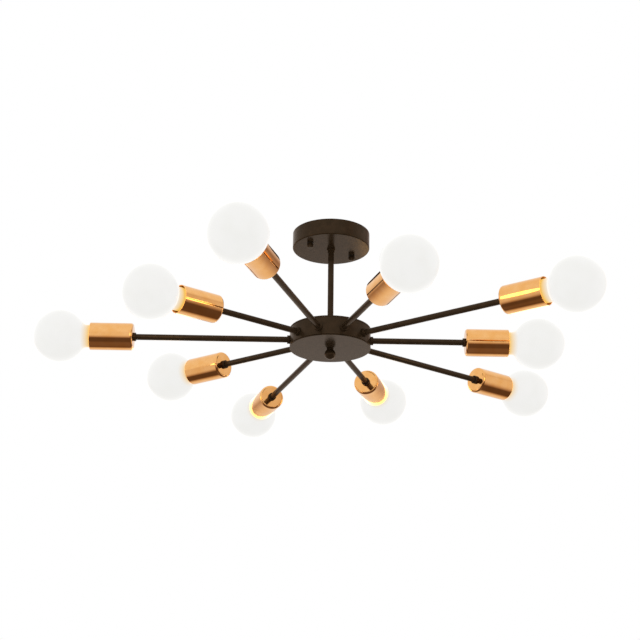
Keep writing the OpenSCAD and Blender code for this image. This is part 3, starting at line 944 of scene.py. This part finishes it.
def terminal_block():
    """Three-pole screw terminal block on the canopy floor."""
    lo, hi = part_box("terminal_block")
    middle = (lo + hi) / 2
    half_l, half_w = (hi.x - lo.x) / 2, (hi.y - lo.y) / 2
    height = hi.z - lo.z
    pole = half_l * 2 / 3
    poles = (-1, 0, 1)
    # Each pole bulges out between shallow notches
    notch = 1.2 * MM
    contour = []
    for side in (-1, 1):
        for k in range(len(poles)):
            for across, inset in ((0.0, notch), (0.14, 0), (0.86, 0)):
                contour.append((side * (-half_l + (k + across) * pole), -side * (half_w - inset)))
        contour.append((side * half_l, -side * (half_w - notch)))
    body = slab("terminal_block", contour, 0, height)
    screw_y = 4 * MM
    well = rod("screw_well", 2.4 * MM, height - 5 * MM, height + MM)
    way = rod("wire_way", 1.7 * MM, -half_w - MM, half_w + MM)
    cuts = []
    for k in poles:
        cuts += [(well, upright(k * pole, end * screw_y)) for end in (-1, 1)]
        cuts.append((way, upright(x=k * pole, z=WIRE_WAY) @ Matrix.Rotation(math.pi / 2, 4, "X")))
    spot = upright(middle.x, middle.y, lo.z)
    place("terminal_block_body", drilled(body, cuts), spot, NYLON, ROOT, ["terminal_block"],
          bevel=0.3 * MM)
    head_r = 2.1 * MM
    head_t = 1.8 * MM
    rows = outline((0, 0), (head_r, 0), (head_r, head_t, 0.4 * MM), (0, head_t))
    head = turned("terminal_screw", rows, sides=40)
    past_rim = 3 * MM
    half_slot = 0.35 * MM
    corners = [(-past_rim, -half_slot), (past_rim, -half_slot), (past_rim, half_slot), (-past_rim, half_slot)]
    slot = slab("screw_slot", corners, head_t / 2, head_t + MM)
    screw = drilled(head, [(slot, Matrix.Rotation(0.5, 4, "Z"))])
    for k in poles:
        for end in (-1, 1):
            name = f"terminal_screw_{k + 2}{'a' if end < 0 else 'b'}"
            seat = spot @ upright(k * pole, end * screw_y, height - 4.8 * MM)
            place(name, screw, seat, BRASS, ROOT)


def lead(name, points, diameter, finish):
    """One insulated lead along a smooth path, as a tube mesh."""
    curve = bpy.data.curves.new(name, "CURVE")
    curve.dimensions = "3D"
    curve.bevel_depth = diameter / 2
    curve.bevel_resolution = 5
    curve.use_fill_caps = True
    path = curve.splines.new("NURBS")
    path.points.add(len(points) - 1)
    for spot, point in zip(path.points, points):
        spot.co = (*point, 1)
    path.order_u = 4
    path.use_endpoint_u = True
    path.resolution_u = 6
    source = bpy.data.objects.new(name, curve)
    bpy.context.scene.collection.objects.link(source)
    bpy.context.view_layer.update()
    mesh = bpy.data.meshes.new_from_object(source.evaluated_get(bpy.context.evaluated_depsgraph_get()))
    mesh.name = name
    mesh.materials.clear()
    mesh.shade_smooth()
    bpy.data.objects.remove(source)
    return place(name, mesh, upright(), finish, ROOT, ["wiring_loom"])


def wiring():
    """Brown and blue leads from each lampholder to a ring in the hub, and three leads up the stem."""
    size = 1.9 * MM
    ring_r = ARM_START - 18 * MM
    bends = 6
    for i in range(ARM_COUNT):
        turn = Matrix.Rotation(i * ARM_STEP, 3, "Z")
        for side, finish, label in ((-1, LEAD_BROWN, "live"), (1, LEAD_BLUE, "neutral")):
            y = side * 1.05 * MM
            outer = cup_back(i) + 24.5 * MM
            straight = (outer, outer - 20 * MM, ARM_START + 2 * MM, ARM_START - 6 * MM, ring_r + 2 * MM)
            path = [(x, y, 0) for x in straight]
            for k in range(1, bends + 1):
                sweep = ARM_STEP * 0.2 * k
                beside = ring_r * math.sin(sweep) + y * (1 - k / bends)
                path.append((ring_r * math.cos(sweep), beside, side * MM * k / bends))
            points = [turn @ Vector(p) + Vector((0, 0, ARM_LEVEL)) for p in path]
            lead(f"lamp_lead_{label}_{tag(i)}", points, size, finish)
    stem_top = high("stem").z
    block_face = low("terminal_block").y
    entry_z = low("terminal_block").z + WIRE_WAY
    pole = (high("terminal_block").x - low("terminal_block").x) / 3
    kinds = ((-1, LEAD_BROWN, "live"), (0, LEAD_GREEN, "earth"), (1, LEAD_BLUE, "neutral"))
    for side, finish, label in kinds:
        a = side * FULL_TURN / 3 + math.pi / 2
        off_axis = 1.15 * MM
        x, y = off_axis * math.cos(a), off_axis * math.sin(a)
        path = [
            (side * 6 * MM, ring_r, ARM_LEVEL),
            (side * 4 * MM, ring_r * 0.7, ARM_LEVEL),
            (side * 2 * MM, ring_r * 0.4, ARM_LEVEL),
            (x, 7 * MM, ARM_LEVEL),
            (x, y, ARM_LEVEL + 1 * MM),
            (x, y, ARM_LEVEL + 12 * MM),
            (x, y, stem_top - 10 * MM),
            (x, y, stem_top - 1 * MM),
            (x, y, stem_top + 6 * MM),
            (x + side * 2 * MM, 6 * MM, stem_top + 7 * MM),
            (side * pole * 0.8, 12 * MM, stem_top + 2 * MM),
            (side * pole, block_face - 3 * MM, entry_z),
            (side * pole, block_face + 3 * MM, entry_z),
        ]
        lead("supply_lead_" + label, path, size, finish)


# Studio ---------------------------------------------------------------------------------------

# The camera stands below the arms and looks up at the hub
VIEW_AZIMUTH = math.radians(232.8)
VIEW_DISTANCE = 2.0412
VIEW_DROP = 0.75025
VIEW_HEADING = math.radians(-36.76)
VIEW_PITCH = math.radians(20.98)
VIEW_ROLL = math.radians(0.73)
LENS_MM = 81.42
SENSOR_MM = 36


def camera():
    """The camera that the render is made with."""
    data = bpy.data.cameras.new("camera")
    data.lens = LENS_MM
    data.sensor_width = SENSOR_MM
    data.clip_start, data.clip_end = 0.05, 50
    made = bpy.data.objects.new("camera", data)
    bpy.context.scene.collection.objects.link(made)
    x, y = VIEW_DISTANCE * math.cos(VIEW_AZIMUTH), VIEW_DISTANCE * math.sin(VIEW_AZIMUTH)
    aim = Matrix.Rotation(VIEW_HEADING, 4, "Z") @ Matrix.Rotation(math.pi / 2 + VIEW_PITCH, 4, "X")
    made.matrix_world = upright(x, y, ARM_LEVEL - VIEW_DROP) @ aim @ Matrix.Rotation(VIEW_ROLL, 4, "Z")
    bpy.context.scene.camera = made


# Soft light areas of the surround: name, degrees to the right of the camera's line of sight, elevation,
# angles where the even middle ends and where it has faded out, and brightness
LIGHT_AREAS = [
    ("overhead", -105, 70, 58, 106, 1.0),
    ("backdrop", 0, -8, 24, 60, 0.95),
    ("left side", -100, -3, 22, 50, 0.85),
    ("floor bounce", 0, -90, 10, 45, 0.2),
    ("behind the camera", 180, 22, 25, 60, 0.95),
    ("right side", 85, 10, 18, 52, 0.9),
]
# Brightness of the room between the light areas
DIM = 0.12
# The room's floor lies this far below the ceiling, and reaches this far to every side
FLOOR_DROP = 3.3
FLOOR_REACH = 60


def studio():
    """Pale floor and a dim surround with soft light areas overhead and on every side of the light."""
    world = bpy.data.worlds.new("studio")
    bpy.context.scene.world = world
    world.use_nodes = True
    tree = world.node_tree
    tree.nodes.clear()
    direction = add(tree, "ShaderNodeTexCoord", {}).outputs["Generated"]
    level = DIM
    for _name, side, height, inner, outer, strength in LIGHT_AREAS:
        azimuth = VIEW_AZIMUTH + math.pi - math.radians(side)
        rise = math.radians(height)
        axis = (math.cos(azimuth) * math.cos(rise), math.sin(azimuth) * math.cos(rise), math.sin(rise))
        facing = add(tree, "ShaderNodeVectorMath", {0: direction, 1: axis}, operation="DOT_PRODUCT")
        fade = {"Value": facing.outputs["Value"], "To Min": 0.0, "To Max": strength}
        fade["From Min"] = math.cos(math.radians(outer))
        fade["From Max"] = math.cos(math.radians(inner))
        lobe = add(tree, "ShaderNodeMapRange", fade, interpolation_type="SMOOTHSTEP").outputs["Result"]
        level = add(tree, "ShaderNodeMath", {0: level, 1: lobe}, operation="MAXIMUM").outputs["Value"]
    # The dim parts of the room are warm brown, the lit parts white
    warmth = {"Factor": level, "A": linear("#FFC8A8"), "B": linear("#FFFFFF")}
    tone = add(tree, "ShaderNodeMix", warmth, data_type="RGBA").outputs["Result"]
    lit = add(tree, "ShaderNodeBackground", {"Color": tone, "Strength": level})
    seen = add(tree, "ShaderNodeBackground", {"Color": linear("#FFFFFF"), "Strength": 1.0})
    eye = add(tree, "ShaderNodeLightPath", {}).outputs["Is Camera Ray"]
    mix = add(tree, "ShaderNodeMixShader", {0: eye, 1: lit.outputs[0], 2: seen.outputs[0]})
    add(tree, "ShaderNodeOutputWorld", {"Surface": mix.outputs[0]})

    bm = bmesh.new()
    bmesh.ops.create_grid(bm, x_segments=8, y_segments=8, size=FLOOR_REACH)
    ground = bpy.data.objects.new("floor", finish_mesh("floor", bm))
    # Matt floor paint put on with a roller: nearly white, with faint clouds where the coats overlap
    cloud = 0.4
    material, floor_tree, shader = new_surface("floor_paint_matt", {"Roughness": 0.8})
    feed(shader, {"Base Color": blotches(floor_tree, cloud, ("#F3F2F0", "#F6F5F3"))})
    ground.data.materials.append(material)
    ground.location = (0, 0, -FLOOR_DROP)
    ground.visible_glossy = False
    bpy.context.scene.collection.objects.link(ground)
    bpy.context.scene.view_settings.view_transform = "Standard"


camera()
studio()
lamps_and_arms()
hub()
finial()
stem()
canopy()
mounting_bar()
cover_bracket()
terminal_block()
wiring()
